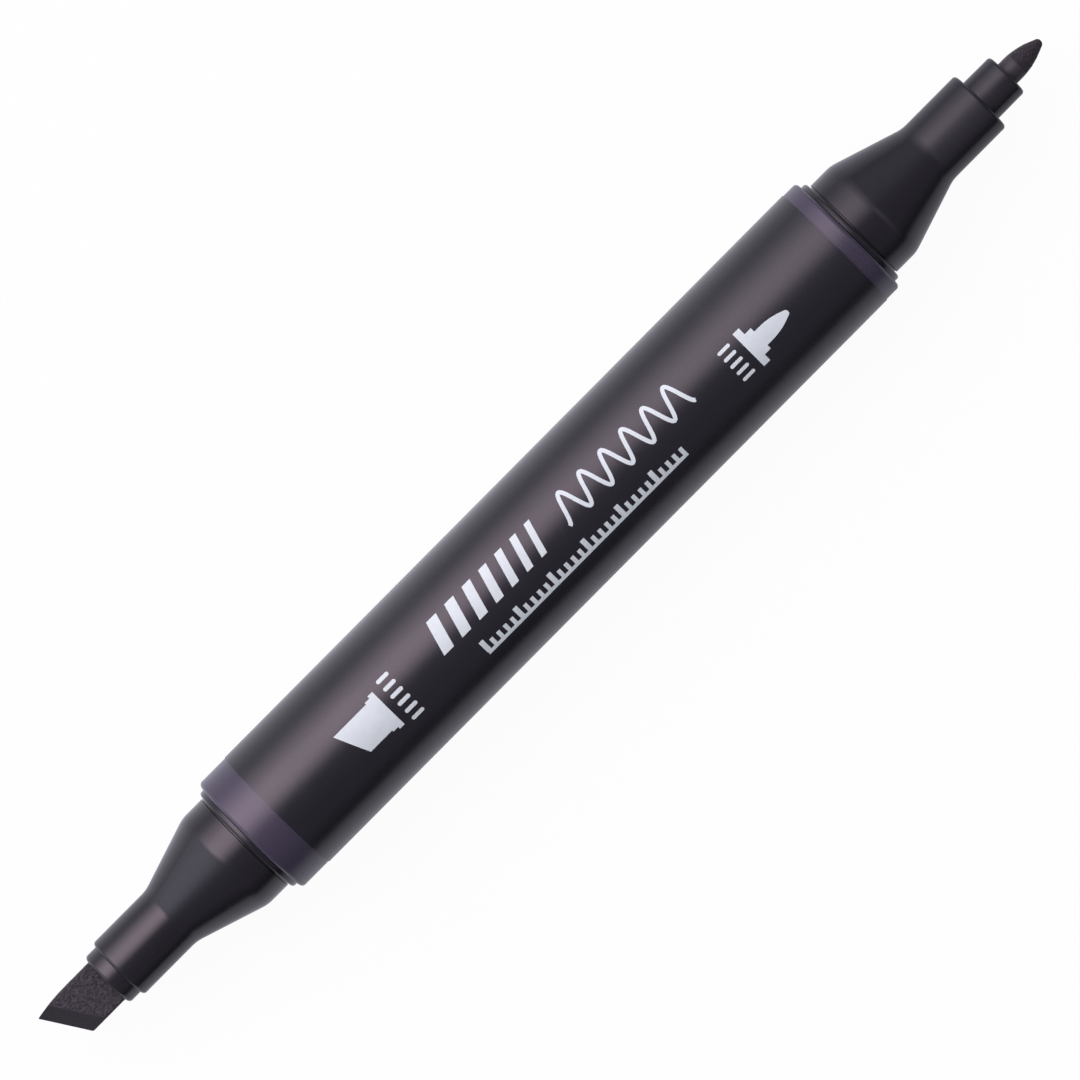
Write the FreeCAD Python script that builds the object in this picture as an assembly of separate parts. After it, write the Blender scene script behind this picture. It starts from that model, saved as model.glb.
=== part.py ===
import FreeCAD, Part
import math
import os

# A double-ended felt tip marker with both caps off, in millimetres.
# The X axis is the marker's axis: the chisel nib points along -X and the fine nib along +X.
# +Z is the printed side. The origin is on the axis, halfway between the barrel's end faces.

Vector = FreeCAD.Vector
ORIGIN = Vector(0, 0, 0)
X_AXIS = Vector(1, 0, 0)

# Barrel: one round tube with a plain bore and lengthwise ribs that centre the reservoir
BARREL_LENGTH = 90.1
BARREL_RADIUS = 7.77
BARREL_EDGE_ROUND = 0.45
BORE_RADIUS = 6.5
BORE_EDGE_ROUND = 0.2
RIB_COUNT = 6
RIB_WIDTH = 0.8
RIB_LENGTH = 66.0
RIB_LEAD_IN = 1.5
HALF_BARREL = BARREL_LENGTH / 2

# Printed film wrapped on the barrel, set nearer to the fine end
LABEL_CHISEL_MARGIN = 4.0
LABEL_FINE_MARGIN = 1.95
LABEL_THICKNESS = 0.07
LABEL_RADIUS = 7.85

# Front section: one moulding, used at both ends
PLUG_LENGTH = 9.0
PLUG_CLEARANCE = 0.03
PLUG_LEAD_IN = 0.45
PLUG_EDGE_ROUND = 0.1
PLUG_LEAD_ROUND = 0.2
BEAD_HEIGHT = 0.14
BEAD_WIDTH = 1.1
BEAD_CREST = 0.5
BEAD_FROM_FLANGE = 5.4
BEAD_CLEARANCE = 0.03
FLANGE_RADIUS = 7.03
FLANGE_THICKNESS = 0.68
FLANGE_ROUND = 0.3
FLANGE_BACK_ROUND = 0.08
ROOT_GROOVE_WIDTH = 0.2
ROOT_GROOVE_DEPTH = 0.2
ROOT_GROOVE_ROUND = 0.05
SHOULDER_RADIUS = 6.47
SHOULDER_END = 48.9
CONE_END = 57.05
CONE_ROUND = 4.0
NECK_RADIUS = 3.85
NECK_END = 65.05
NECK_ROUND = 0.4
NECK_BORE_RADIUS = 3.4
SECTION_WALL_RADIUS = 5.1
FIN_COUNT = 4
FIN_FIRST_ANGLE = 45.0
FIN_WIDTH = 0.8
FIN_TIP_RADIUS = 2.7
FIN_LENGTH = 2.4
FIN_RAMP = 1.7

# Ink reservoir: a bonded-fibre rod in a film wrap
RESERVOIR_LENGTH = 82.0
RESERVOIR_WRAP_RADIUS = 5.5
RESERVOIR_WRAP_THICKNESS = 0.1
RESERVOIR_WRAP_GAP = 0.02
RESERVOIR_CLEARANCE = 0.04
RESERVOIR_EDGE_ROUND = 0.3

# Nib holders, pushed into the necks until they stop on the fins
HOLDER_RADIUS = 3.38
HOLDER_START = 55.05
HOLDER_LEAD_IN = 0.3
CHISEL_COLLAR_END = 66.75
CHISEL_COLLAR_ROUND = 0.45
FINE_BODY_END = 64.75
FINE_NOSE_RADIUS = 2.665
FINE_NOSE_END_RADIUS = 2.635
FINE_NOSE_END = 69.05
FINE_NOSE_ROUND = 0.37
FINE_STEP_ROUND = 0.1
FINE_CORE_RADIUS = 2.3
FINE_CORE_DEPTH = 4.5
CHISEL_VENT_RADIUS = 0.35
FINE_VENT_RADIUS = 0.22
FINE_VENT_COUNT = 3
FINE_VENT_FIRST_ANGLE = 90.0
NIB_CLEARANCE = 0.03
SOCKET_CLEARANCE = 0.06

# Chisel nib: a flat bar with a slanted end, ground to an edge from both broad faces
CHISEL_TIP = 74.81
CHISEL_WIDTH = 5.55
CHISEL_THICKNESS = 2.6
CHISEL_TIP_HALF_WIDTH = 2.325
CHISEL_SLANT_WIDTH = CHISEL_TIP_HALF_WIDTH + CHISEL_WIDTH / 2
CHISEL_SLANT_RUN = 3.223
CHISEL_RELIEF_RUN = 4.7
CHISEL_LONG_EDGE_ROUND = 0.35
CHISEL_HEEL_ROUND = 0.25
CHISEL_BEVEL_DEPTH = 1.7
CHISEL_LAND = 0.5
NIB_TAIL_END = 36.5
CHISEL_TAIL_LENGTH = 5.0
CHISEL_TAIL_WIDTH = 2.0
CHISEL_TAIL_THICKNESS = 1.2

# Fine nib: a round rod with a bullet point
FINE_TIP = 74.12
FINE_RADIUS = 1.435
FINE_POINT_LENGTH = 2.6
FINE_POINT_ANGLE = 22.0
FINE_POINT_BLEND = 8.0
FINE_TIP_ROUND = 0.5
FINE_TAIL_LENGTH = 3.0
FINE_TAIL_RADIUS = 0.6
FINE_TAIL_ROUND = 0.3
FINE_TAIL_BLEND = 0.5

OVERLAP = 0.3      # how far added ribs and fins run into the wall that carries them
BEYOND = 2.0       # how far a cutting shape runs past the solid it cuts
SHORTEST = 1e-6    # edges shorter than this are left out of a face's outline


def lathe_plane(x, radius):
    """Below the axis, so that the seam of a turned face lies on the side away from the print."""
    return Vector(x, 0, -radius)


def plan_plane(x, y):
    return Vector(x, y, 0)


def side_plane(x, z):
    return Vector(x, 0, z)


def end_plane(y, z):
    return Vector(0, y, z)


def corner_points(before, here, after, radius):
    """Start, middle and end of the arc that rounds the corner `here`; all three are `here` if it is sharp."""
    if radius <= 0:
        return here, here, here
    back = (before - here).normalize()
    ahead = (after - here).normalize()
    half_angle = back.getAngle(ahead) / 2
    run = radius / math.tan(half_angle)
    middle_line = (back + ahead).normalize()
    middle = here + middle_line * (radius / math.sin(half_angle) - radius)
    return here + back * run, middle, here + ahead * run


def rounded_face(corners, plane):
    """A flat face from (a, b, corner radius) entries, with each corner rounded by an arc."""
    places = [plane(a, b) for a, b, _ in corners]
    arcs = []
    for i, (_, _, radius) in enumerate(corners):
        after = places[(i + 1) % len(places)]
        arcs.append(corner_points(places[i - 1], places[i], after, radius))
    edges = []
    for i, (start, middle, end) in enumerate(arcs):
        if start.distanceToPoint(end) > SHORTEST:
            edges.append(Part.Arc(start, middle, end).toShape())
        next_start = arcs[(i + 1) % len(arcs)][0]
        if end.distanceToPoint(next_start) > SHORTEST:
            edges.append(Part.LineSegment(end, next_start).toShape())
    return Part.Face(Part.Wire(edges))


def lathe(corners):
    """A solid of revolution about the marker's axis, from (x, radius, corner radius) entries."""
    return rounded_face(corners, lathe_plane).revolve(ORIGIN, X_AXIS, 360)


def centred_prism(face, direction, depth):
    """The face extruded by `depth` along a unit direction, half to each side of its plane."""
    moved = face.copy()
    moved.translate(direction * (-depth / 2))
    return moved.extrude(direction * depth)


def around_axis(shape, count, first_angle=0.0):
    """Copies of a shape at equal steps around the marker's axis."""
    copies = []
    for i in range(count):
        turned = shape.copy()
        turned.rotate(ORIGIN, X_AXIS, first_angle + 360.0 * i / count)
        copies.append(turned)
    return copies


def to_chisel_end(shape):
    """The same shape at the other end of the marker."""
    return shape.mirror(ORIGIN, X_AXIS)


# ---- barrel and label ----

def bead_ring(x_middle, base_radius, height, extra_width=0.0):
    """A low ring of trapezoid section, used as the snap bead and, a little larger, as its groove."""
    half_foot = BEAD_WIDTH / 2 + extra_width
    half_crest = BEAD_CREST / 2 + extra_width
    floor = base_radius - OVERLAP
    return lathe([
        (x_middle - half_foot, floor, 0),
        (x_middle - half_foot, base_radius, 0),
        (x_middle - half_crest, base_radius + height, 0),
        (x_middle + half_crest, base_radius + height, 0),
        (x_middle + half_foot, base_radius, 0),
        (x_middle + half_foot, floor, 0),
    ])


def centring_rib():
    """One lengthwise rib on the +Z side of the bore, with a ramp at each end to lead the reservoir in."""
    half = RIB_LENGTH / 2
    root = BORE_RADIUS + OVERLAP
    tip = RESERVOIR_WRAP_RADIUS + RESERVOIR_CLEARANCE
    face = rounded_face([
        (-half, root, 0),
        (-half + RIB_LEAD_IN, tip, 0),
        (half - RIB_LEAD_IN, tip, 0),
        (half, root, 0),
    ], side_plane)
    return centred_prism(face, Vector(0, 1, 0), RIB_WIDTH)


def barrel_tube():
    tube = lathe([
        (-HALF_BARREL, BORE_RADIUS, BORE_EDGE_ROUND),
        (-HALF_BARREL, BARREL_RADIUS, BARREL_EDGE_ROUND),
        (HALF_BARREL, BARREL_RADIUS, BARREL_EDGE_ROUND),
        (HALF_BARREL, BORE_RADIUS, BORE_EDGE_ROUND),
    ])
    tube = tube.fuse(around_axis(centring_rib(), RIB_COUNT))
    groove = bead_ring(HALF_BARREL - BEAD_FROM_FLANGE, BORE_RADIUS, BEAD_HEIGHT, BEAD_CLEARANCE)
    return tube.cut([groove, to_chisel_end(groove)])


def label_sleeve():
    start = -HALF_BARREL + LABEL_CHISEL_MARGIN
    end = HALF_BARREL - LABEL_FINE_MARGIN
    inner = LABEL_RADIUS - LABEL_THICKNESS
    return lathe([
        (start, inner, 0),
        (start, LABEL_RADIUS, 0),
        (end, LABEL_RADIUS, 0),
        (end, inner, 0),
    ])


# ---- front section ----

def stop_fin():
    """One fin inside the cone, on the +Z side: its end is the stop for the nib holder."""
    start = HOLDER_START - FIN_LENGTH - FIN_RAMP
    fin_root = NECK_BORE_RADIUS + OVERLAP
    face = rounded_face([
        (start, inner_cone_radius(start) + OVERLAP, 0),
        (HOLDER_START - FIN_LENGTH, FIN_TIP_RADIUS, 0),
        (HOLDER_START, FIN_TIP_RADIUS, 0),
        (HOLDER_START, fin_root, 0),
    ], side_plane)
    return centred_prism(face, Vector(0, 1, 0), FIN_WIDTH)


def inner_cone_radius(x):
    """Radius of the cone's inside wall, which narrows from the shoulder to the holder's bore."""
    share = (x - SHOULDER_END) / (HOLDER_START - SHOULDER_END)
    return SECTION_WALL_RADIUS + share * (NECK_BORE_RADIUS - SECTION_WALL_RADIUS)


def fine_section():
    plug_radius = BORE_RADIUS - PLUG_CLEARANCE
    plug_start = HALF_BARREL - PLUG_LENGTH
    socket_radius = RESERVOIR_WRAP_RADIUS + RESERVOIR_CLEARANCE
    reservoir_stop = RESERVOIR_LENGTH / 2
    flange_end = HALF_BARREL + FLANGE_THICKNESS
    groove_end = flange_end + ROOT_GROOVE_WIDTH
    groove_radius = SHOULDER_RADIUS - ROOT_GROOVE_DEPTH
    body = lathe([
        (plug_start, socket_radius, 0),
        (plug_start, plug_radius - PLUG_LEAD_IN, PLUG_EDGE_ROUND),
        (plug_start + PLUG_LEAD_IN, plug_radius, PLUG_LEAD_ROUND),
        (HALF_BARREL, plug_radius, 0),
        (HALF_BARREL, FLANGE_RADIUS, FLANGE_BACK_ROUND),
        (flange_end, FLANGE_RADIUS, FLANGE_ROUND),
        (flange_end, groove_radius, ROOT_GROOVE_ROUND),
        (groove_end, groove_radius, ROOT_GROOVE_ROUND),
        (groove_end, SHOULDER_RADIUS, ROOT_GROOVE_ROUND),
        (SHOULDER_END, SHOULDER_RADIUS, CONE_ROUND),
        (CONE_END, NECK_RADIUS, CONE_ROUND),
        (NECK_END, NECK_RADIUS, NECK_ROUND),
        (NECK_END, NECK_BORE_RADIUS, 0),
        (HOLDER_START, NECK_BORE_RADIUS, 0),
        (SHOULDER_END, SECTION_WALL_RADIUS, 0),
        (reservoir_stop, SECTION_WALL_RADIUS, 0),
        (reservoir_stop, socket_radius, 0),
    ])
    bead = bead_ring(HALF_BARREL - BEAD_FROM_FLANGE, plug_radius, BEAD_HEIGHT)
    fins = around_axis(stop_fin(), FIN_COUNT, FIN_FIRST_ANGLE)
    return body.fuse([bead] + fins)


def chisel_section():
    return to_chisel_end(fine_section())


# ---- nibs ----

def chisel_side_prism(clearance):
    """The bar seen from the side: even thickness, with a tail that thins towards the reservoir."""
    half = CHISEL_THICKNESS / 2 + clearance
    tail_half = CHISEL_TAIL_THICKNESS / 2 + clearance
    tail_end = -NIB_TAIL_END + clearance
    tail_start = tail_end - CHISEL_TAIL_LENGTH
    front = -CHISEL_TIP - BEYOND
    face = rounded_face([
        (front, -half, 0),
        (tail_start, -half, 0),
        (tail_end, -tail_half, tail_half / 2),
        (tail_end, tail_half, tail_half / 2),
        (tail_start, half, 0),
        (front, half, 0),
    ], side_plane)
    return centred_prism(face, Vector(0, 1, 0), CHISEL_WIDTH + BEYOND)


def chisel_plan_prism(clearance):
    """The bar seen from above: straight sides, a slanted end and a tapered tail."""
    half = CHISEL_WIDTH / 2 + clearance
    tail_half = CHISEL_TAIL_WIDTH / 2 + clearance
    tail_end = -NIB_TAIL_END + clearance
    tail_start = tail_end - CHISEL_TAIL_LENGTH
    slope = CHISEL_SLANT_RUN / CHISEL_SLANT_WIDTH
    tip_x = -CHISEL_TIP - clearance - slope * (half - CHISEL_TIP_HALF_WIDTH)
    heel_x = -CHISEL_TIP - clearance + slope * (CHISEL_TIP_HALF_WIDTH + half)
    face = rounded_face([
        (tip_x, half, 0),
        (heel_x, -half, CHISEL_HEEL_ROUND),
        (tail_start, -half, 0),
        (tail_end, -tail_half, tail_half / 2),
        (tail_end, tail_half, tail_half / 2),
        (tail_start, half, 0),
    ], plan_plane)
    return centred_prism(face, Vector(0, 0, 1), CHISEL_THICKNESS + BEYOND)


def chisel_blank(clearance=0.0):
    """The nib before its edge is ground; a clearance makes it the slot or socket that the nib slides in."""
    half_width = CHISEL_WIDTH / 2 + clearance
    half_thickness = CHISEL_THICKNESS / 2 + clearance
    cross_section = rounded_face([
        (-half_width, -half_thickness, CHISEL_LONG_EDGE_ROUND),
        (half_width, -half_thickness, CHISEL_LONG_EDGE_ROUND),
        (half_width, half_thickness, CHISEL_LONG_EDGE_ROUND),
        (-half_width, half_thickness, CHISEL_LONG_EDGE_ROUND),
    ], end_plane)
    cross_section.translate(X_AXIS * (-CHISEL_TIP - BEYOND))
    bar = cross_section.extrude(X_AXIS * (CHISEL_TIP + BEYOND))
    return bar.common(chisel_side_prism(clearance)).common(chisel_plan_prism(clearance))


def relief_cutter():
    """Takes the long edge down towards the tip by a gentle arc that leaves the side of the bar smoothly."""
    half = CHISEL_WIDTH / 2
    drop = half - CHISEL_TIP_HALF_WIDTH
    radius = (CHISEL_RELIEF_RUN ** 2 + drop ** 2) / (2 * drop)
    start_x = -CHISEL_TIP + CHISEL_RELIEF_RUN
    centre = Vector(start_x, half - radius, 0)
    reach = CHISEL_RELIEF_RUN + BEYOND

    def on_arc(run):
        return centre + Vector(-run, math.sqrt(radius ** 2 - run ** 2), 0)

    arc = Part.Arc(on_arc(0), on_arc(reach / 2), on_arc(reach)).toShape()
    far = on_arc(reach)
    outer_y = half + BEYOND
    rest = Part.makePolygon([
        far,
        Vector(far.x, outer_y, 0),
        Vector(start_x, outer_y, 0),
        on_arc(0),
    ])
    face = Part.Face(Part.Wire([arc] + rest.Edges))
    return centred_prism(face, Vector(0, 0, 1), CHISEL_THICKNESS + BEYOND)


def bevel_cutter():
    """Grinds the upper broad face down to the land at the slanted edge."""
    half_thickness = CHISEL_THICKNESS / 2
    half_land = CHISEL_LAND / 2
    profile = rounded_face([
        (0, half_land, 0),
        (-CHISEL_BEVEL_DEPTH, half_thickness, 0),
        (-CHISEL_BEVEL_DEPTH, half_thickness + BEYOND, 0),
        (BEYOND, half_thickness + BEYOND, 0),
        (BEYOND, half_land, 0),
    ], side_plane)
    cutter = centred_prism(profile, Vector(0, 1, 0), 2 * (CHISEL_WIDTH + BEYOND))
    slant_angle = math.degrees(math.atan2(CHISEL_SLANT_RUN, CHISEL_SLANT_WIDTH))
    cutter.rotate(ORIGIN, Vector(0, 0, 1), 180 + slant_angle)
    cutter.translate(Vector(-CHISEL_TIP, CHISEL_TIP_HALF_WIDTH, 0))
    return cutter


def chisel_nib():
    upper = bevel_cutter()
    lower = upper.mirror(ORIGIN, Vector(0, 0, 1))
    return chisel_blank().cut([relief_cutter(), upper, lower])


def fine_blank(clearance=0.0):
    """The round nib; a clearance makes it the bore or socket that the nib slides in."""
    shank = FINE_RADIUS + clearance
    tail_radius = FINE_TAIL_RADIUS + clearance
    tail_end = NIB_TAIL_END - clearance
    point_start = FINE_TIP - FINE_POINT_LENGTH
    tip_radius = shank - FINE_POINT_LENGTH * math.tan(math.radians(FINE_POINT_ANGLE))
    return lathe([
        (tail_end, 0, 0),
        (tail_end, tail_radius, FINE_TAIL_ROUND),
        (tail_end + FINE_TAIL_LENGTH, shank, FINE_TAIL_BLEND),
        (point_start, shank, FINE_POINT_BLEND),
        (FINE_TIP + clearance, tip_radius, FINE_TIP_ROUND),
        (FINE_TIP + clearance, 0, 0),
    ])


def fine_nib():
    return fine_blank()


# ---- nib holders ----

def vent_groove(y, z, radius, start, end):
    """A round channel along the nib, which lets air pass as ink flows out."""
    return Part.makeCylinder(radius, end - start, Vector(start, y, z), X_AXIS)


def chisel_nib_holder():
    body = lathe([
        (-CHISEL_COLLAR_END, 0, 0),
        (-CHISEL_COLLAR_END, HOLDER_RADIUS, CHISEL_COLLAR_ROUND),
        (-HOLDER_START, HOLDER_RADIUS, HOLDER_LEAD_IN),
        (-HOLDER_START, 0, 0),
    ])
    groove_z = CHISEL_THICKNESS / 2 + NIB_CLEARANCE
    start = -CHISEL_COLLAR_END - BEYOND
    end = -HOLDER_START + BEYOND
    vents = [vent_groove(0, z, CHISEL_VENT_RADIUS, start, end) for z in (groove_z, -groove_z)]
    return body.cut([chisel_blank(NIB_CLEARANCE)] + vents)


def fine_nib_holder():
    core_end = HOLDER_START + FINE_CORE_DEPTH
    bore_radius = FINE_RADIUS + NIB_CLEARANCE
    body = lathe([
        (HOLDER_START, FINE_CORE_RADIUS, 0),
        (HOLDER_START, HOLDER_RADIUS, HOLDER_LEAD_IN),
        (FINE_BODY_END, HOLDER_RADIUS, FINE_STEP_ROUND),
        (FINE_BODY_END, FINE_NOSE_RADIUS, FINE_STEP_ROUND),
        (FINE_NOSE_END, FINE_NOSE_END_RADIUS, FINE_NOSE_ROUND),
        (FINE_NOSE_END, bore_radius, FINE_STEP_ROUND),
        (core_end, bore_radius, 0),
        (core_end, FINE_CORE_RADIUS, 0),
    ])
    vent = vent_groove(0, bore_radius, FINE_VENT_RADIUS, HOLDER_START - BEYOND, FINE_NOSE_END + BEYOND)
    return body.cut(around_axis(vent, FINE_VENT_COUNT, FINE_VENT_FIRST_ANGLE))


# ---- ink reservoir ----

def reservoir_fibre():
    half = RESERVOIR_LENGTH / 2
    radius = RESERVOIR_WRAP_RADIUS - RESERVOIR_WRAP_THICKNESS - RESERVOIR_WRAP_GAP
    rod = lathe([
        (-half, 0, 0),
        (-half, radius, RESERVOIR_EDGE_ROUND),
        (half, radius, RESERVOIR_EDGE_ROUND),
        (half, 0, 0),
    ])
    return rod.cut([chisel_blank(SOCKET_CLEARANCE), fine_blank(SOCKET_CLEARANCE)])


def reservoir_wrap():
    half = RESERVOIR_LENGTH / 2
    inner = RESERVOIR_WRAP_RADIUS - RESERVOIR_WRAP_THICKNESS
    return lathe([
        (-half, inner, 0),
        (-half, RESERVOIR_WRAP_RADIUS, 0),
        (half, RESERVOIR_WRAP_RADIUS, 0),
        (half, inner, 0),
    ])


PARTS = {
    "barrel_tube": barrel_tube,
    "label_sleeve": label_sleeve,
    "chisel_section": chisel_section,
    "fine_section": fine_section,
    "chisel_nib_holder": chisel_nib_holder,
    "fine_nib_holder": fine_nib_holder,
    "chisel_nib": chisel_nib,
    "fine_nib": fine_nib,
    "reservoir_fibre": reservoir_fibre,
    "reservoir_wrap": reservoir_wrap,
}

os.makedirs("parts", exist_ok=True)
for name, make in PARTS.items():
    make().exportStep(f"parts/{name}.step")
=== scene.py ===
"""Looks for a double-ended felt tip marker with both caps off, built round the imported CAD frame.

Row frame, in metres: +X is the fine end, -X the chisel end, +Z the printed side.
"""

import math

import bmesh
import bpy
import numpy as np
from mathutils import Matrix, Vector, kdtree, noise
from mathutils.bvhtree import BVHTree


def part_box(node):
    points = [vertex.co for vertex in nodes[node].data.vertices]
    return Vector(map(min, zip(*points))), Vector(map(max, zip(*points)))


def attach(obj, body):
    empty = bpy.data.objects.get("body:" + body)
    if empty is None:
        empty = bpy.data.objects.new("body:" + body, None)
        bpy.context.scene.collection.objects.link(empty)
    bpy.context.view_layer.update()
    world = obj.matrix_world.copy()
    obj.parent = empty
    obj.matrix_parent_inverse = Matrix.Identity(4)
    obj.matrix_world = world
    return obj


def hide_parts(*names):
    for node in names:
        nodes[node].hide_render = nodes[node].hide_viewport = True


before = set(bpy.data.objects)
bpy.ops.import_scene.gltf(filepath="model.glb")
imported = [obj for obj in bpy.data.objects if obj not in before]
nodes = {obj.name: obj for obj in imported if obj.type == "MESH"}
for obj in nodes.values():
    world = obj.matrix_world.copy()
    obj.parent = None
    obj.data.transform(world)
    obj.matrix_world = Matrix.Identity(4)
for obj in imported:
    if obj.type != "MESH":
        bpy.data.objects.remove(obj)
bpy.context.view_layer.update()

MM = 0.001
SAME_PLACE = 1e-7               # vertices closer together than this are one

# ---------------------------------------------------------------- node helpers


class Shader:
    """The node tree of one material, with short calls for the nodes used here."""

    def __init__(self, name):
        self.material = bpy.data.materials.new(name)
        self.use_tree_of(self.material)

    def use_tree_of(self, data):
        data.use_nodes = True
        self.tree = data.node_tree
        self.tree.nodes.clear()

    def node(self, kind, inputs=None, **settings):
        made = self.tree.nodes.new(kind)
        for key, value in settings.items():
            setattr(made, key, value)
        for key, value in (inputs or {}).items():
            self.feed(made.inputs[key], value)
        return made

    def feed(self, socket, value):
        if isinstance(value, bpy.types.NodeSocket):
            self.tree.links.new(value, socket)
        else:
            socket.default_value = value

    def place_mm(self):
        """The point on the object, in millimetres of the row frame at rest."""
        coordinates = self.node("ShaderNodeTexCoord")
        in_mm = self.node("ShaderNodeVectorMath", {0: coordinates.outputs["Object"]}, operation="SCALE")
        in_mm.inputs["Scale"].default_value = 1 / MM
        return in_mm.outputs[0]

    def stretch(self, vector, factors):
        made = self.node("ShaderNodeVectorMath", {0: vector, 1: factors}, operation="MULTIPLY")
        return made.outputs[0]

    def noise(self, vector, per_mm, detail=2.0, roughness=0.5, distortion=0.0):
        made = self.node("ShaderNodeTexNoise", {
            "Vector": vector,
            "Scale": per_mm,
            "Detail": detail,
            "Roughness": roughness,
            "Distortion": distortion,
        })
        return made.outputs[0]

    def remap(self, value, low, high, to_low=0.0, to_high=1.0):
        made = self.node("ShaderNodeMapRange", {
            "Value": value,
            "From Min": low,
            "From Max": high,
            "To Min": to_low,
            "To Max": to_high,
        })
        return made.outputs[0]

    def curve(self, value, points):
        """Straight runs between (value, result) points, level beyond both ends."""
        start, end = points[0][0], points[-1][0]
        top = max(result for _, result in points)
        ramp = self.node("ShaderNodeValToRGB", {0: self.remap(value, start, end)})
        stops = ramp.color_ramp.elements
        for place, _ in points[1:-1]:
            stops.new((place - start) / (end - start))
        for stop, (_, result) in zip(stops, points):
            stop.color = grey(result / top)
        return self.math("MULTIPLY", ramp.outputs[0], top)

    def math(self, operation, a, b=0.0, clamp=False):
        made = self.node("ShaderNodeMath", {0: a, 1: b}, operation=operation, use_clamp=clamp)
        return made.outputs[0]

    def split(self, vector):
        """The X, Y and Z of a vector."""
        return self.node("ShaderNodeSeparateXYZ", {0: vector}).outputs

    def turn(self, y, z):
        """The angle about the marker's axis in degrees, from straight up towards +Y."""
        return self.math("MULTIPLY", self.math("ARCTAN2", y, z), 180 / math.pi)

    def mix(self, share, a, b):
        """A colour `share` of the way from a to b."""
        made = self.node("ShaderNodeMix", data_type="RGBA", blend_type="MIX")
        self.feed(made.inputs[0], share)
        self.feed(made.inputs[6], a)
        self.feed(made.inputs[7], b)
        return made.outputs[2]

    def bump(self, height, distance_mm, strength=1.0, normal=None):
        made = self.node("ShaderNodeBump", {
            "Strength": strength,
            "Distance": distance_mm * MM,
            "Height": height,
        })
        if normal is not None:
            self.feed(made.inputs["Normal"], normal)
        return made.outputs[0]

    def edges(self, radius_mm):
        """0 on open faces, rising to 1 on the corners that hands and caps rub."""
        open_face, corner = 0.995, 0.90       # cosine between the rounded normal and the true one
        bevel = self.node("ShaderNodeBevel", {"Radius": radius_mm * MM}, samples=4)
        geometry = self.node("ShaderNodeNewGeometry")
        dot = self.node("ShaderNodeVectorMath", {
            0: bevel.outputs[0],
            1: geometry.outputs["Normal"],
        }, operation="DOT_PRODUCT")
        return self.remap(dot.outputs["Value"], open_face, corner)

    def end_at(self, output_kind, result):
        output = self.node(output_kind)
        self.tree.links.new(result.outputs[0], output.inputs[0])

    def finish(self, **inputs):
        surface = self.node("ShaderNodeBsdfPrincipled")
        for key, value in inputs.items():
            self.feed(surface.inputs[key.replace("_", " ")], value)
        self.end_at("ShaderNodeOutputMaterial", surface)
        return self.material


class LightingShader(Shader):
    """The same node calls, on the tree of a world or a light."""

    def __init__(self, data):
        self.use_tree_of(data)


def rgb(red, green, blue):
    return (red, green, blue, 1.0)


def grey(level):
    return rgb(level, level, level)


def scaled(colour, factor):
    return tuple(channel * factor for channel in colour[:3]) + (1.0,)


# ---------------------------------------------------------------- materials


def rubbed_plastic(name, colour, roughness, ior, grain_mm=0.12, wear=0.35):
    """Satin moulded plastic: spark-eroded grain, slow flow marks, light scratches and rubbed corners."""
    s = Shader(name)
    place = s.place_mm()
    flow = s.noise(s.stretch(place, (0.35, 1.0, 1.0)), per_mm=0.16, detail=3.0, roughness=0.55)
    grain = s.noise(place, per_mm=1 / grain_mm, roughness=0.6)
    speck = s.noise(place, per_mm=2.3, detail=4.0, roughness=0.7)
    hoop = s.noise(s.stretch(place, (9.0, 0.35, 0.35)), per_mm=1.0)
    scratches = s.remap(hoop, 0.69, 0.76)
    worn = s.math("MULTIPLY", s.edges(0.22), s.remap(speck, 0.35, 0.65, 0.35, 1.0), clamp=True)

    tone = s.mix(s.remap(flow, 0.3, 0.7), scaled(colour, 0.90), scaled(colour, 1.10))
    tone = s.mix(s.remap(grain, 0.35, 0.75, 0.0, 0.35), tone, scaled(colour, 1.35))
    tone = s.mix(s.math("MULTIPLY", worn, wear), tone, scaled(colour, 2.6))

    rough = s.remap(flow, 0.25, 0.75, roughness - 0.035, roughness + 0.035)
    rough = s.math("ADD", rough, s.remap(grain, 0.3, 0.7, -0.02, 0.03))
    rough = s.math("ADD", rough, s.math("MULTIPLY", scratches, 0.10))
    rough = s.math("SUBTRACT", rough, s.math("MULTIPLY", worn, 0.05))

    relief = s.bump(grain, distance_mm=0.004, strength=0.55)
    relief = s.bump(flow, distance_mm=0.05, strength=0.35, normal=relief)
    relief = s.bump(scratches, distance_mm=0.002, strength=-0.5, normal=relief)
    return s.finish(Base_Color=tone, Roughness=rough, Normal=relief, IOR=ior)


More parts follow.
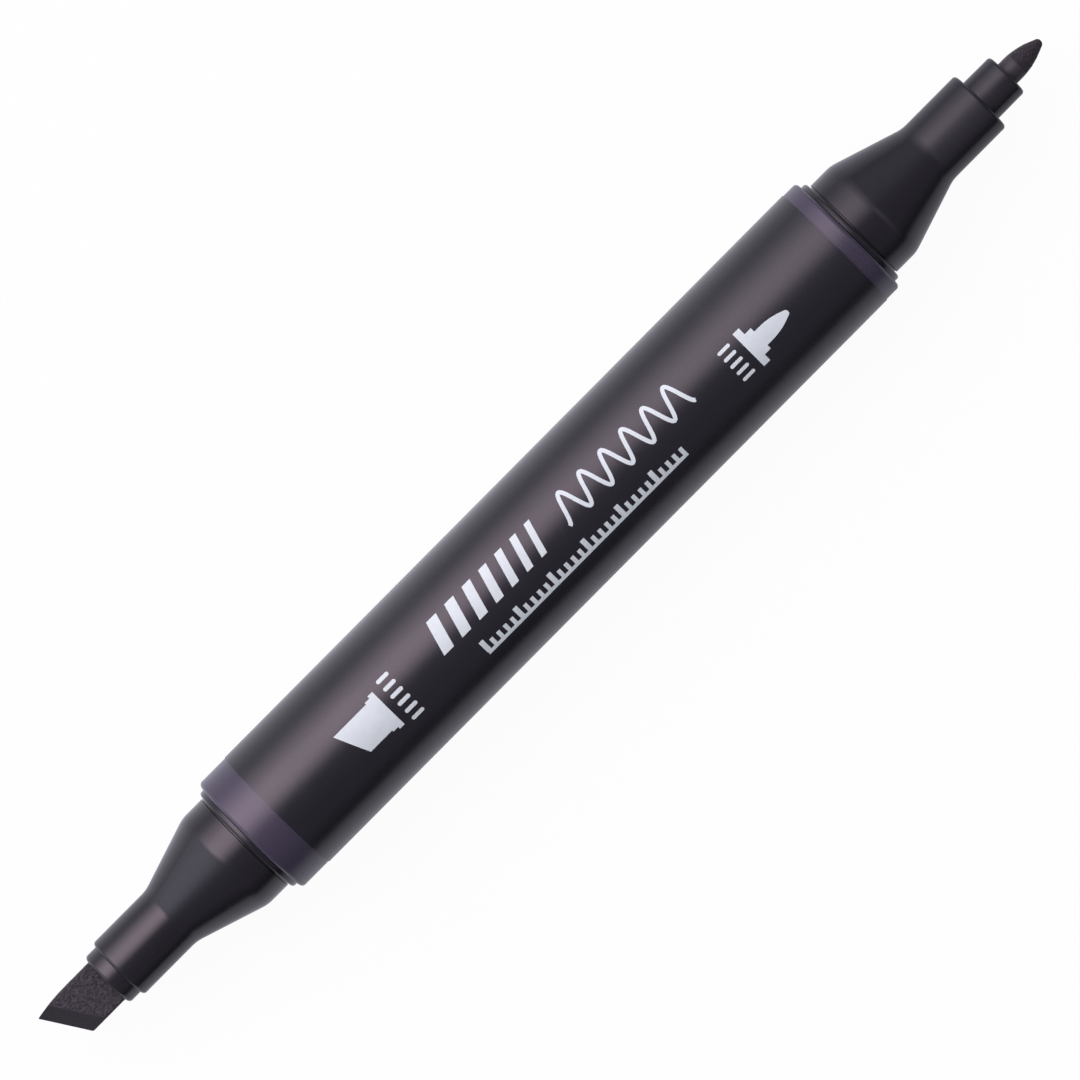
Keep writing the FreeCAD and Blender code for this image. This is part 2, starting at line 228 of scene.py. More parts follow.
def printed_film(name, colour, roughness):
    """Black film shrunk on the barrel: slight orange peel, soft smudges, scratches along and round it."""
    s = Shader(name)
    place = s.place_mm()
    smudge = s.noise(place, per_mm=0.11, detail=4.0, roughness=0.6, distortion=0.6)
    peel = s.noise(s.stretch(place, (0.6, 1.0, 1.0)), per_mm=0.9)
    grain = s.noise(place, per_mm=7.0, roughness=0.6)
    along = s.noise(s.stretch(place, (0.05, 6.0, 6.0)), per_mm=1.0, detail=3.0, roughness=0.6)
    round_it = s.noise(s.stretch(place, (11.0, 0.12, 0.12)), per_mm=1.0, detail=3.0, roughness=0.6)
    scratches = s.math("MAXIMUM", s.remap(along, 0.66, 0.74), s.remap(round_it, 0.68, 0.76))

    tone = s.mix(s.remap(smudge, 0.3, 0.7), scaled(colour, 0.92), scaled(colour, 1.10))
    tone = s.mix(s.remap(grain, 0.4, 0.8, 0.0, 0.3), tone, scaled(colour, 1.4))

    rough = s.remap(smudge, 0.25, 0.75, roughness - 0.03, roughness + 0.045)
    rough = s.math("ADD", rough, s.remap(grain, 0.3, 0.7, -0.015, 0.02))
    rough = s.math("ADD", rough, s.math("MULTIPLY", scratches, 0.07))

    relief = s.bump(grain, distance_mm=0.003, strength=0.5)
    relief = s.bump(peel, distance_mm=0.012, strength=0.30, normal=relief)
    relief = s.bump(scratches, distance_mm=0.0015, strength=-0.4, normal=relief)
    return s.finish(Base_Color=tone, Roughness=rough, Normal=relief, IOR=1.5)


def screen_ink(name, colour):
    """Pale screen-printed ink: faint mottle, a few pinholes and a matt skin."""
    s = Shader(name)
    place = s.place_mm()
    mottle = s.noise(place, per_mm=0.8, detail=4.0, roughness=0.6)
    pins = s.remap(s.noise(place, per_mm=9.0, detail=1.0), 0.24, 0.18)
    tone = s.mix(s.remap(mottle, 0.3, 0.7), scaled(colour, 0.95), scaled(colour, 1.03))
    tone = s.mix(s.math("MULTIPLY", pins, 0.35), tone, PINHOLE)
    rough = s.remap(mottle, 0.3, 0.7, 0.42, 0.52)
    texture = s.noise(place, per_mm=6.0, detail=3.0, roughness=0.6)
    relief = s.bump(texture, distance_mm=0.004, strength=0.5)
    return s.finish(Base_Color=tone, Roughness=rough, Normal=relief, IOR=1.45)


def bonded_felt(name, colour, speck_mm, contrast=1.0, skin=0.8, skin_rough=0.55):
    """Ink-soaked bonded fibre. The "ground" attribute marks where it is cut or skinned smooth."""
    s = Shader(name)
    place = s.place_mm()
    smooth = s.node("ShaderNodeAttribute", attribute_name="ground").outputs["Fac"]
    fibres = s.noise(s.stretch(place, (0.8, 1.0, 1.0)), per_mm=1 / speck_mm, detail=3.0, roughness=0.7)
    grit = s.noise(place, per_mm=1.6 / speck_mm, roughness=0.8)
    patches = s.noise(place, per_mm=0.7)
    coarse = s.math("ADD", s.math("MULTIPLY", fibres, 0.6), s.math("MULTIPLY", grit, 0.4))

    # The speckle follows the bump: darker in the gaps between fibres as painted shade, lighter on the fibre
    # tips as painted highlight. The skin's tone follows the same bump more faintly.
    shaded_gaps, lit_tips = scaled(colour, 1 - 0.55 * contrast), scaled(colour, 1 + 0.85 * contrast)
    open_tone = s.mix(s.remap(coarse, 0.40, 0.62), shaded_gaps, lit_tips)
    open_tone = s.mix(s.remap(patches, 0.3, 0.7, 0.0, 0.3), open_tone, scaled(colour, 0.7))
    skin_tone = s.mix(s.remap(coarse, 0.40, 0.66), scaled(colour, 0.85 * skin), scaled(colour, 1.15 * skin))
    tone = s.mix(smooth, open_tone, skin_tone)

    rough = s.remap(smooth, 0.0, 1.0, 0.82, skin_rough)
    rough = s.math("ADD", rough, s.remap(coarse, 0.4, 0.6, -0.05, 0.05))
    relief = s.bump(coarse, distance_mm=0.08, strength=s.remap(smooth, 0.0, 1.0, 0.9, 0.2))
    return s.finish(
        Base_Color=tone, Roughness=rough, Normal=relief, IOR=1.42,
        Sheen_Weight=s.remap(smooth, 0.0, 1.0, 0.10, 0.0), Sheen_Roughness=0.5,
    )


def stretched_wrap(name, colour):
    """Thin film drawn tight round the reservoir, with lengthwise drawing lines."""
    s = Shader(name)
    lines = s.noise(s.stretch(s.place_mm(), (0.03, 5.0, 5.0)), per_mm=1.0, detail=3.0, roughness=0.6)
    tone = s.mix(s.remap(lines, 0.3, 0.7), scaled(colour, 0.9), scaled(colour, 1.08))
    rough = s.remap(lines, 0.3, 0.7, 0.18, 0.30)
    relief = s.bump(lines, distance_mm=0.01, strength=0.5)
    return s.finish(Base_Color=tone, Roughness=rough, Normal=relief, IOR=1.5)


FILM_BLACK = rgb(0.0107, 0.0103, 0.0128)
BARREL_PURPLE = rgb(0.0405, 0.0338, 0.0535)
SECTION_BLACK = rgb(0.0112, 0.0107, 0.0129)
HOLDER_BLACK = rgb(0.0125, 0.0118, 0.0135)
INK_WHITE = rgb(0.645, 0.747, 0.700)
PINHOLE = rgb(0.05, 0.05, 0.06)
CHISEL_FELT = rgb(0.0330, 0.0300, 0.0335)
FINE_FELT = rgb(0.0196, 0.0170, 0.0192)
RESERVOIR_FELT = rgb(0.16, 0.13, 0.17)
WRAP_FILM = rgb(0.30, 0.28, 0.31)

barrel_plastic = rubbed_plastic(
    "barrel_plastic_look", BARREL_PURPLE, roughness=0.29, ior=1.515, grain_mm=0.14, wear=0.25,
)
section_plastic = rubbed_plastic("section_plastic_look", SECTION_BLACK, roughness=0.18, ior=1.443)
holder_plastic = rubbed_plastic("holder_plastic_look", HOLDER_BLACK, roughness=0.18, ior=1.46)
ink = screen_ink("print_ink_look", INK_WHITE)
chisel_felt = bonded_felt("chisel_felt_look", CHISEL_FELT, speck_mm=0.24, contrast=1.6, skin=0.72)
fine_felt = bonded_felt(
    "fine_felt_look", FINE_FELT, speck_mm=0.22, contrast=1.4, skin=1.81, skin_rough=0.42,
)
reservoir_felt = bonded_felt("reservoir_fibre_look", RESERVOIR_FELT, speck_mm=0.3)

cad_materials = {
    "barrel_tube": barrel_plastic,
    "label_sleeve": printed_film("label_film_look", FILM_BLACK, roughness=0.24),
    "chisel_section": section_plastic,
    "fine_section": section_plastic,
    "chisel_nib_holder": holder_plastic,
    "fine_nib_holder": holder_plastic,
    "reservoir_wrap": stretched_wrap("reservoir_film_look", WRAP_FILM),
}

for node_name, material in cad_materials.items():
    for material_slot in nodes[node_name].material_slots:
        material_slot.material = material

# ---------------------------------------------------------------- shading of the CAD nodes

JOIN_ANGLE = math.radians(20)


def join_normals(mesh):
    """One shared normal where smooth faces meet at a seam or a tangent join. Real corners stay sharp."""
    corner_count = len(mesh.loops)
    vertex_of = np.empty(corner_count, np.int32)
    mesh.loops.foreach_get("vertex_index", vertex_of)
    places = np.empty(3 * len(mesh.vertices), np.float32)
    mesh.vertices.foreach_get("co", places)
    normals = np.empty(3 * corner_count, np.float32)
    mesh.corner_normals.foreach_get("vector", normals)
    areas = np.empty(len(mesh.polygons), np.float32)
    mesh.polygons.foreach_get("area", areas)
    sides = np.empty(len(mesh.polygons), np.int32)
    mesh.polygons.foreach_get("loop_total", sides)

    normals = normals.reshape(-1, 3).astype(float)
    weights = np.repeat(areas, sides).astype(float)
    keys = np.round(places.reshape(-1, 3)[vertex_of] / SAME_PLACE).astype(np.int64)
    _, group_of = np.unique(keys, axis=0, return_inverse=True)
    group_of = group_of.ravel()
    order = np.argsort(group_of, kind="stable")
    starts = np.flatnonzero(np.diff(group_of[order])) + 1
    joined = normals.copy()
    for group in np.split(order, starts):
        near = normals[group] @ normals[group].T > math.cos(JOIN_ANGLE)
        joined[group] = near @ (normals[group] * weights[group, None])
    joined /= np.linalg.norm(joined, axis=1, keepdims=True)
    mesh.normals_split_custom_set(joined.tolist())


for node_name in cad_materials:
    join_normals(nodes[node_name].data)

# ---------------------------------------------------------------- felt pieces

SHARP_ANGLE = math.radians(28)
EDGE_SNAP = 0.55                # of a voxel: a point this close to a sharp edge goes onto it


def new_piece(name, mesh, material, body):
    piece = bpy.data.objects.new(name, mesh)
    bpy.context.scene.collection.objects.link(piece)
    mesh.materials.clear()
    mesh.materials.append(material)
    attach(piece, body)
    return piece


def felt_piece(node_name, mesh, ground, material, body):
    """A felt mesh that stands for a CAD node, with its share of smooth surface at each vertex."""
    attribute = mesh.attributes.new("ground", "FLOAT", "POINT")
    attribute.data.foreach_set("value", ground)
    mesh.shade_smooth()
    piece = new_piece(node_name + "_felt", mesh, material, body)
    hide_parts(node_name)


def welded(node_name):
    """The node's surface as one closed mesh."""
    surface = bmesh.new()
    surface.from_mesh(nodes[node_name].data)
    bmesh.ops.remove_doubles(surface, verts=surface.verts, dist=SAME_PLACE)
    surface.normal_update()
    return surface


def voxel_mesh(surface, name, voxel):
    """An even quad mesh over a closed surface."""
    rough_mesh = bpy.data.meshes.new(name + "_rough")
    surface.to_mesh(rough_mesh)
    helper = bpy.data.objects.new(name + "_rough", rough_mesh)
    bpy.context.scene.collection.objects.link(helper)
    remesh = helper.modifiers.new("even", "REMESH")
    remesh.mode = "VOXEL"
    remesh.voxel_size = voxel
    remesh.adaptivity = 0.0
    depsgraph = bpy.context.evaluated_depsgraph_get()
    made = bpy.data.meshes.new_from_object(helper.evaluated_get(depsgraph))
    made.name = name
    bpy.data.objects.remove(helper)
    bpy.data.meshes.remove(rough_mesh)
    return made


def sharp_edge_points(surface, step):
    """Points along every sharp edge, for snapping."""
    points = []
    for edge in surface.edges:
        if len(edge.link_faces) == 2 and edge.calc_face_angle() > SHARP_ANGLE:
            a, b = edge.verts[0].co, edge.verts[1].co
            count = max(1, math.ceil((b - a).length / step))
            points += [a.lerp(b, i / count) for i in range(count + 1)]
    tree = kdtree.KDTree(len(points))
    for i, point in enumerate(points):
        tree.insert(point, i)
    tree.balance()
    return tree


def on_surface(place, tree, edges, voxel):
    """The nearest point of the true surface, its normal and its gap to a sharp edge."""
    nearest, normal, _, _ = tree.find_nearest(place)
    on_edge, _, gap = edges.find(nearest)
    if gap < EDGE_SNAP * voxel:
        nearest = on_edge
    return nearest, normal, gap


def fibre_bumps(place, layers):
    """Noise drawn out along X, as bonded fibres lie. Layers are (weight, mm along, mm across, seed)."""
    total = 0.0
    for weight, along, across, seed in layers:
        total += weight * noise.noise(Vector((
            place.x / (along * MM) + seed,
            place.y / (across * MM),
            place.z / (across * MM),
        )))
    return total


CHISEL_VOXEL = 0.085 * MM
CHISEL_EDGE_STEP = 0.01 * MM
CHISEL_FIBRES = [(0.6, 0.34, 0.20, 3.1), (0.4, 0.9, 0.5, 8.7)]
CHISEL_RELIEF = 0.040 * MM
CHISEL_GROUND_RELIEF = 0.004 * MM
CHISEL_GROUND_LEAN = -0.3       # faces whose normal points further along -X than this are ground
CHISEL_EDGE_BAND = 1.5          # voxels beside a sharp edge where the fibres are pressed flatter
CHISEL_EDGE_CALM = 0.45
CHISEL_DIP = 0.35               # how far the fibres lie below the true surface, in reliefs
CHISEL_CREASE = math.radians(38)


def chisel_nib():
    """The felt bar: granular broad faces and sides, with the ground facets smoother."""
    surface = welded("chisel_nib")
    mesh = voxel_mesh(surface, "chisel_nib_felt", CHISEL_VOXEL)
    tree = BVHTree.FromBMesh(surface)
    edges = sharp_edge_points(surface, CHISEL_EDGE_STEP)
    ground = []
    for vertex in mesh.vertices:
        place, normal, gap = on_surface(vertex.co, tree, edges, CHISEL_VOXEL)
        is_ground = normal.x < CHISEL_GROUND_LEAN
        relief = CHISEL_GROUND_RELIEF if is_ground else CHISEL_RELIEF
        if gap < CHISEL_EDGE_BAND * CHISEL_VOXEL:
            relief *= CHISEL_EDGE_CALM
        vertex.co = place + normal * (relief * (fibre_bumps(place, CHISEL_FIBRES) - CHISEL_DIP))
        ground.append(1.0 if is_ground else 0.0)
    surface.free()
    felt_piece("chisel_nib", mesh, ground, chisel_felt, "chisel_nib_body")
    mesh.set_sharp_from_angle(angle=CHISEL_CREASE)


FINE_STEP = 0.08 * MM
FINE_AROUND = 112
FINE_FIBRES = [(0.65, 0.26, 0.15, 1.7), (0.35, 0.7, 0.4, 5.3)]
FINE_RELIEF = 0.034 * MM
FINE_SKIN_RELIEF = 0.002 * MM
FINE_SKIN_END = 70.6 * MM
FINE_SKIN_FADE = 0.12 * MM
FINE_DIP = 0.4                  # how far the fibres lie below the true surface, in reliefs
FINE_FULL_RADIUS = 0.5 * MM     # the relief shrinks with the radius inside this
FINE_SMALLEST_RING = 0.02 * MM


def lathe_profile(node_name):
    """(x, radius) pairs of a turned node, from its own vertices."""
    largest = {}
    for vertex in nodes[node_name].data.vertices:
        key = round(vertex.co.x, 7)
        radius = math.hypot(vertex.co.y, vertex.co.z)
        largest[key] = max(largest.get(key, 0.0), radius)
    return sorted(largest.items())


def profile_stations(profile, step):
    """The same profile with no step along it longer than `step`."""
    stations = []
    for (x0, r0), (x1, r1) in zip(profile, profile[1:]):
        count = max(1, math.ceil(math.hypot(x1 - x0, r1 - r0) / step))
        for i in range(count):
            share = i / count
            stations.append((x0 + share * (x1 - x0), r0 + share * (r1 - r0)))
    stations.append(profile[-1])
    return stations


def fine_ring(surface, x, radius, skinned):
    """One ring of vertices round the rod, with its fibres."""
    relief = (1 - skinned) * FINE_RELIEF + skinned * FINE_SKIN_RELIEF
    relief *= min(1.0, radius / FINE_FULL_RADIUS)
    ring = []
    for i in range(FINE_AROUND):
        angle = 2 * math.pi * i / FINE_AROUND
        outward = Vector((0, math.cos(angle), math.sin(angle)))
        place = Vector((x, 0, 0)) + outward * radius
        bumps = fibre_bumps(place, FINE_FIBRES)
        ring.append(surface.verts.new(place + outward * (relief * (bumps - FINE_DIP))))
    return ring


def fine_nib():
    """The round felt rod: a smooth skin on the shank and granular felt on the point."""
    profile = lathe_profile("fine_nib")
    surface = bmesh.new()
    ground = []
    rings = []
    for x, radius in profile_stations(profile, FINE_STEP):
        if radius > FINE_SMALLEST_RING:
            skinned = min(1.0, max(0.0, (FINE_SKIN_END - x) / FINE_SKIN_FADE))
            rings.append(fine_ring(surface, x, radius, skinned))
            ground += [skinned] * FINE_AROUND
    neighbours = [(i, (i + 1) % FINE_AROUND) for i in range(FINE_AROUND)]
    for before, after in zip(rings, rings[1:]):
        for i, j in neighbours:
            surface.faces.new((before[i], before[j], after[j], after[i]))
    for ring, x, skinned in ((rings[0], profile[0][0], ground[0]), (rings[-1], profile[-1][0], 0.0)):
        centre = surface.verts.new((x, 0, 0))
        ground.append(skinned)
        for i, j in neighbours:
            surface.faces.new((ring[i], ring[j], centre))
    bmesh.ops.recalc_face_normals(surface, faces=surface.faces)
    mesh = bpy.data.meshes.new("fine_nib_felt")
    surface.to_mesh(mesh)
    surface.free()
    felt_piece("fine_nib", mesh, ground, fine_felt, "fine_nib_body")


RESERVOIR_VOXEL = 0.28 * MM
RESERVOIR_EDGE_STEP = 0.02 * MM
RESERVOIR_FIBRES = [(1.0, 3.0, 0.6, 2.2)]
RESERVOIR_RELIEF = 0.03 * MM
RESERVOIR_DIP = 1.0             # in reliefs, so the fibres only ever dip inwards


def reservoir():
    """The bonded-fibre rod inside the wrap, with its two nib sockets."""
    surface = welded("reservoir_fibre")
    mesh = voxel_mesh(surface, "reservoir_fibre_felt", RESERVOIR_VOXEL)
    tree = BVHTree.FromBMesh(surface)
    edges = sharp_edge_points(surface, RESERVOIR_EDGE_STEP)
    for vertex in mesh.vertices:
        place, normal, _ = on_surface(vertex.co, tree, edges, RESERVOIR_VOXEL)
        bumps = fibre_bumps(place, RESERVOIR_FIBRES)
        vertex.co = place + normal * (RESERVOIR_RELIEF * (bumps - RESERVOIR_DIP))
    surface.free()
    ground = [0.0] * len(mesh.vertices)
    felt_piece("reservoir_fibre", mesh, ground, reservoir_felt, "marker_body")


chisel_nib()
fine_nib()
reservoir()

# ---------------------------------------------------------------- print on the label

# Printed outlines are in millimetres: x along the marker, y round the label from the print's centre line.
label_low, label_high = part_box("label_sleeve")
LABEL_RADIUS = label_high.z / MM
INK_HEIGHT = 0.012
INK_SUNK = 0.01
STRIP = 0.2                     # width of the flat strips that follow the curve
PRINT_TURN = math.radians(-7)
INK_CREASE = math.radians(30)


def wrap_on_label(x, y, height):
    """A flat print place as a place on the label, `height` mm above the film."""
    angle = y / LABEL_RADIUS + PRINT_TURN
    radius = (LABEL_RADIUS + height) * MM
    return Vector((x * MM, radius * math.sin(angle), radius * math.cos(angle)))


def printed_piece(name, outlines):
    """Flat outlines as thin closed plates of ink that follow the label's curve."""
    plates = bmesh.new()
    for outline in outlines:
        lower = [plates.verts.new((x, y, -INK_SUNK)) for x, y in outline]
        upper = [plates.verts.new((x, y, INK_HEIGHT)) for x, y in outline]
        plates.faces.new(upper)
        plates.faces.new(list(reversed(lower)))
        for i in range(len(outline)):
            j = (i + 1) % len(outline)
            plates.faces.new((lower[i], lower[j], upper[j], upper[i]))
    bmesh.ops.recalc_face_normals(plates, faces=plates.faces)
    span = [v.co.y for v in plates.verts]
    for k in range(math.floor(min(span) / STRIP), math.ceil(max(span) / STRIP) + 1):
        everything = plates.verts[:] + plates.edges[:] + plates.faces[:]
        bmesh.ops.bisect_plane(plates, geom=everything, plane_co=(0, k * STRIP, 0), plane_no=(0, 1, 0))
    for vertex in plates.verts:
        vertex.co = wrap_on_label(*vertex.co)
    mesh = bpy.data.meshes.new(name)
    plates.to_mesh(mesh)
    plates.free()
    mesh.shade_smooth()
    mesh.set_sharp_from_angle(angle=INK_CREASE)
    new_piece(name, mesh, ink, "marker_body")


def slanted_bar(x, width, low, high, lean):
    """A stroke sample `width` wide, with its top leaning towards +X."""
    return [(x, low), (x + width, low), (x + width + lean, high), (x + lean, high)]


def rectangle(x0, x1, y0, y1):
    return [(x0, y0), (x1, y0), (x1, y1), (x0, y1)]


def pill(x0, x1, y0, y1, steps=10):
    """A stroke along X with round ends."""
    radius = (y1 - y0) / 2
    middle = (y0 + y1) / 2
    outline = []
    for centre, start in ((x1 - radius, -math.pi / 2), (x0 + radius, math.pi / 2)):
        for i in range(steps + 1):
            angle = start + math.pi * i / steps
            outline.append((centre + radius * math.cos(angle), middle + radius * math.sin(angle)))
    return outline


SAMPLE_LOW, SAMPLE_HIGH = -0.15, 3.75


def chisel_samples():
    """Broad slanted strokes, as the chisel nib makes them, that narrow towards the middle of the label."""
    count = 7
    start, end, lean = -16.7, -0.2, 1.1
    broadest, narrowing = 1.45, 0.11
    widths = [broadest - narrowing * i for i in range(count)]
    gap = (end - start - lean - sum(widths)) / (count - 1)
    bars = []
    x = start
    for width in widths:
        bars.append(slanted_bar(x, width, SAMPLE_LOW, SAMPLE_HIGH, lean))
        x += width + gap
    printed_piece("print_chisel_samples", bars)


def ribbon_edges(points, width):
    """The two edges of a line of even width through the points."""
    half = width / 2
    above, below = [], []
    for i, (x, y) in enumerate(points):
        before = points[max(i - 1, 0)]
        after = points[min(i + 1, len(points) - 1)]
        run, rise = after[0] - before[0], after[1] - before[1]
        length = math.hypot(run, rise)
        off_x, off_y = -rise / length * half, run / length * half
        above.append((x + off_x, y + off_y))
        below.append((x - off_x, y - off_y))
    return above, below


def fine_samples():
    """One thin waved line, as the fine nib makes it."""
    start, end, waves, width = 2.4, 21.2, 6, 0.46
    steps = 12                  # on each run from a crest to the next trough
    middle = (SAMPLE_LOW + SAMPLE_HIGH) / 2
    swing = (SAMPLE_HIGH - SAMPLE_LOW - width) / 2
    count = 2 * waves * steps
    points = []
    for i in range(count + 1):
        x = start + (end - start) * i / count
        points.append((x, middle - swing * math.cos(math.pi * i / steps)))
    above, below = ribbon_edges(points, width)
    runs = range(0, count, steps)
    outlines = [above[i:i + steps + 1] + below[i:i + steps + 1][::-1] for i in runs]
    printed_piece("print_fine_samples", outlines)


RULER_START, RULER_END = -13.2, 16.6
RULER_LOW, RULER_HIGH = -3.75, -1.85
RULER_BASE = 0.42               # width of the base line
RULER_INSET = 0.25              # from each end to the middle of the outermost tick
TALL_EVERY = 5
TALL_HALF_WIDTH, SHORT_HALF_WIDTH = 0.30, 0.24
SHORT_DROP = 0.55


def tick_ruler():
    """A base line with tick marks about one millimetre apart and a taller one every fifth."""
    base_top = RULER_LOW + RULER_BASE
    outlines = [rectangle(RULER_START, RULER_END, RULER_LOW, base_top)]
    count = int(RULER_END - RULER_START)
    pitch = (RULER_END - RULER_START - 2 * RULER_INSET) / count
    for i in range(count + 1):
        x = RULER_START + RULER_INSET + i * pitch
        tall = i % TALL_EVERY == 0
        top = RULER_HIGH if tall else RULER_HIGH - SHORT_DROP
        half = TALL_HALF_WIDTH if tall else SHORT_HALF_WIDTH
        outlines.append(rectangle(x - half, x + half, base_top, top))
    printed_piece("print_ruler", outlines)


def dash_column(name, left, right, low, high, count, thickness):
    """A column of round-ended dashes beside a nib sign."""
    pitch = (high - low - thickness) / (count - 1)
    lows = [low + i * pitch for i in range(count)]
    printed_piece(name, [pill(left, right, y, y + thickness) for y in lows])


def chisel_sign():
    """Outline of the chisel nib, its collar and the end of its neck."""
    tip, heel, collar, neck, end = -31.1, -29.37, -26.2, -25.5, -24.8
    middle = 0.125
    nib_half, collar_half, neck_half = 1.975, 2.175, 2.475
    steps = [
        (collar, nib_half), (collar, collar_half),
        (neck, collar_half), (neck, neck_half),
        (end, neck_half),
    ]
    outline = [(tip, middle + nib_half), (heel, middle - nib_half)]
    outline += [(x, middle - half) for x, half in steps]
    outline += [(x, middle + half) for x, half in reversed(steps)]
    printed_piece("print_chisel_sign", [outline])


FINE_SIGN_SCALE = 0.80
FINE_SIGN_SLIM = 0.70


def fine_sign():
    """The fine nib's own outline, on a step for its nose and a bar for its neck."""
    start, neck_end, nose_end = 28.8, 29.72, 30.63
    neck_half, nose_half = 2.43, 1.53
    middle = -0.25
    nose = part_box("fine_nib_holder")[1].x
    nib = []
    for x, radius in lathe_profile("fine_nib"):
        if x > nose:
            nib.append((nose_end + (x - nose) / MM * FINE_SIGN_SCALE, radius / MM * FINE_SIGN_SLIM))
    tip = nib[-1][0]
    steps = [(start, neck_half), (neck_end, neck_half), (neck_end, nose_half), (nose_end, nose_half)]
    steps += [(nose_end, nib[0][1])] + [point for point in nib if point[1] > 0]
    outline = [(x, middle + half) for x, half in steps]
    outline.append((tip, middle))
    outline += [(x, middle - half) for x, half in reversed(steps)]
    printed_piece("print_fine_sign", [outline])


chisel_samples()
fine_samples()
tick_ruler()
chisel_sign()
dash_column("print_chisel_dashes", left=-23.85, right=-22.15, low=-2.8, high=3.1, count=6, thickness=0.46)
fine_sign()
dash_column("print_fine_dashes", left=26.15, right=27.85, low=-2.35, high=1.9, count=5, thickness=0.40)

# ---------------------------------------------------------------- stage, light and camera

scene = bpy.context.scene
scene.view_settings.view_transform = "Standard"

# Curves of light are (place, strength) points. ALONG curves are by X. ACROSS curves are by Y on the floor,
# and elsewhere by the angle in degrees about the marker's axis, from straight up towards +Y.

FLOOR_HALF = 1.2
FLOOR_SEEN = 0.955
FLOOR_ALBEDO = 0.04
FLOOR_REACH = 0.10
FLOOR_CHISEL_SIDE = 1.18
FLOOR_FINE_SIDE = 0.80
BOUNCE_COLOUR = rgb(0.95, 0.94, 1.06)
FLOOR_ACROSS = [
    (-0.160, 0.04), (-0.055, 0.64), (-0.025, 0.76), (-0.018, 0.74), (-0.014, 0.64), (-0.007, 0.50),
    (0.007, 0.70), (0.013, 0.92), (0.022, 0.98), (0.032, 0.91), (0.050, 0.84), (0.300, 0.55),
]
GLOW_ALONG = [(-0.040, 0.0), (-0.030, 0.07), (-0.020, 0.27), (0.010, 0.26), (0.030, 0.14), (0.060, 0.0)]
GLOW_FULL_Y = 0.010             # the extra glow grows from Y = 0 to here


def floor():
    """A white table, evenly lit to the camera. The light it throws on the marker fades with distance."""
    mesh = bpy.data.meshes.new("floor")
    corners = [(-1, -1), (1, -1), (1, 1), (-1, 1)]
    places = [(x * FLOOR_HALF, y * FLOOR_HALF, label_low.z) for x, y in corners]
    mesh.from_pydata(places, [], [(0, 1, 2, 3)])
    plane = bpy.data.objects.new("floor", mesh)
    scene.collection.objects.link(plane)
    s = Shader("floor_look")
    geometry = s.node("ShaderNodeNewGeometry")
    x, y, _ = s.split(geometry.outputs["Position"])
    along = s.remap(x, -FLOOR_REACH, FLOOR_REACH, FLOOR_CHISEL_SIDE, FLOOR_FINE_SIDE)
    glow = s.math("MULTIPLY", s.curve(x, GLOW_ALONG), s.remap(y, 0.0, GLOW_FULL_Y))
    along = s.math("MULTIPLY", along, s.math("ADD", glow, 1.0))
    bounce = s.math("MULTIPLY", s.curve(y, FLOOR_ACROSS), along)
    seen_by_camera = s.node("ShaderNodeLightPath").outputs["Is Camera Ray"]
    matt = s.node("ShaderNodeBsdfDiffuse", {"Color": grey(FLOOR_ALBEDO)})
    seen = s.node("ShaderNodeEmission", {"Color": grey(1), "Strength": FLOOR_SEEN})
    thrown = s.node("ShaderNodeEmission", {"Color": BOUNCE_COLOUR, "Strength": bounce})
    light = s.node("ShaderNodeMixShader", {0: seen_by_camera, 1: thrown.outputs[0], 2: seen.outputs[0]})
    both = s.node("ShaderNodeAddShader", {0: matt.outputs[0], 1: light.outputs[0]})
    clear = s.node("ShaderNodeBsdfTransparent")
    one_sided = s.node("ShaderNodeMixShader", {
        0: geometry.outputs["Backfacing"],
        1: both.outputs[0],
        2: clear.outputs[0],
    })
    s.end_at("ShaderNodeOutputMaterial", one_sided)
    mesh.materials.append(s.material)


WALL_COLOUR = rgb(0.93, 0.90, 1.08)
WALL_SPREAD = 0.57              # how far the wall reaches to each side, as the X of a direction
WALL_CHISEL_SIDE = 1.68
WALL_FINE_SIDE = 0.36
WALL_ACROSS = [
    (-40, 0.0), (-13, 0.08), (0, 0.30), (13, 0.70), (25, 0.92), (40, 1.0), (60, 0.95), (85, 0.80),
]
AMBIENT = rgb(0.250, 0.245, 0.300)
AMBIENT_LOW, AMBIENT_HIGH = 0.06, 0.42      # Z of the directions between which the ambient light grows
AMBIENT_LEAST = 0.10
BACKDROP = rgb(0.96, 0.96, 0.965)


def surroundings():
    """Pale to the camera. To the marker, a dim wall on the lit side, brighter at the chisel end."""
    world = bpy.data.worlds.new("studio")
    s = LightingShader(world)
    x, y, z = s.split(s.node("ShaderNodeTexCoord").outputs["Generated"])
    along = s.remap(x, -WALL_SPREAD, WALL_SPREAD, WALL_CHISEL_SIDE, WALL_FINE_SIDE)
    wall = s.math("MULTIPLY", s.curve(s.turn(y, z), WALL_ACROSS), along)
    above = s.remap(z, AMBIENT_LOW, AMBIENT_HIGH, AMBIENT_LEAST, 1.0)
    wall_light = s.node("ShaderNodeBackground", {"Color": WALL_COLOUR, "Strength": wall})
    ambient = s.node("ShaderNodeBackground", {"Color": AMBIENT, "Strength": above})
    lit = s.node("ShaderNodeAddShader", {0: wall_light.outputs[0], 1: ambient.outputs[0]})
    seen = s.node("ShaderNodeBackground", {"Color": BACKDROP})
    seen_by_camera = s.node("ShaderNodeLightPath").outputs["Is Camera Ray"]
    both = s.node("ShaderNodeMixShader", {0: seen_by_camera, 1: lit.outputs[0], 2: seen.outputs[0]})
    s.end_at("ShaderNodeOutputWorld", both)
    scene.world = world


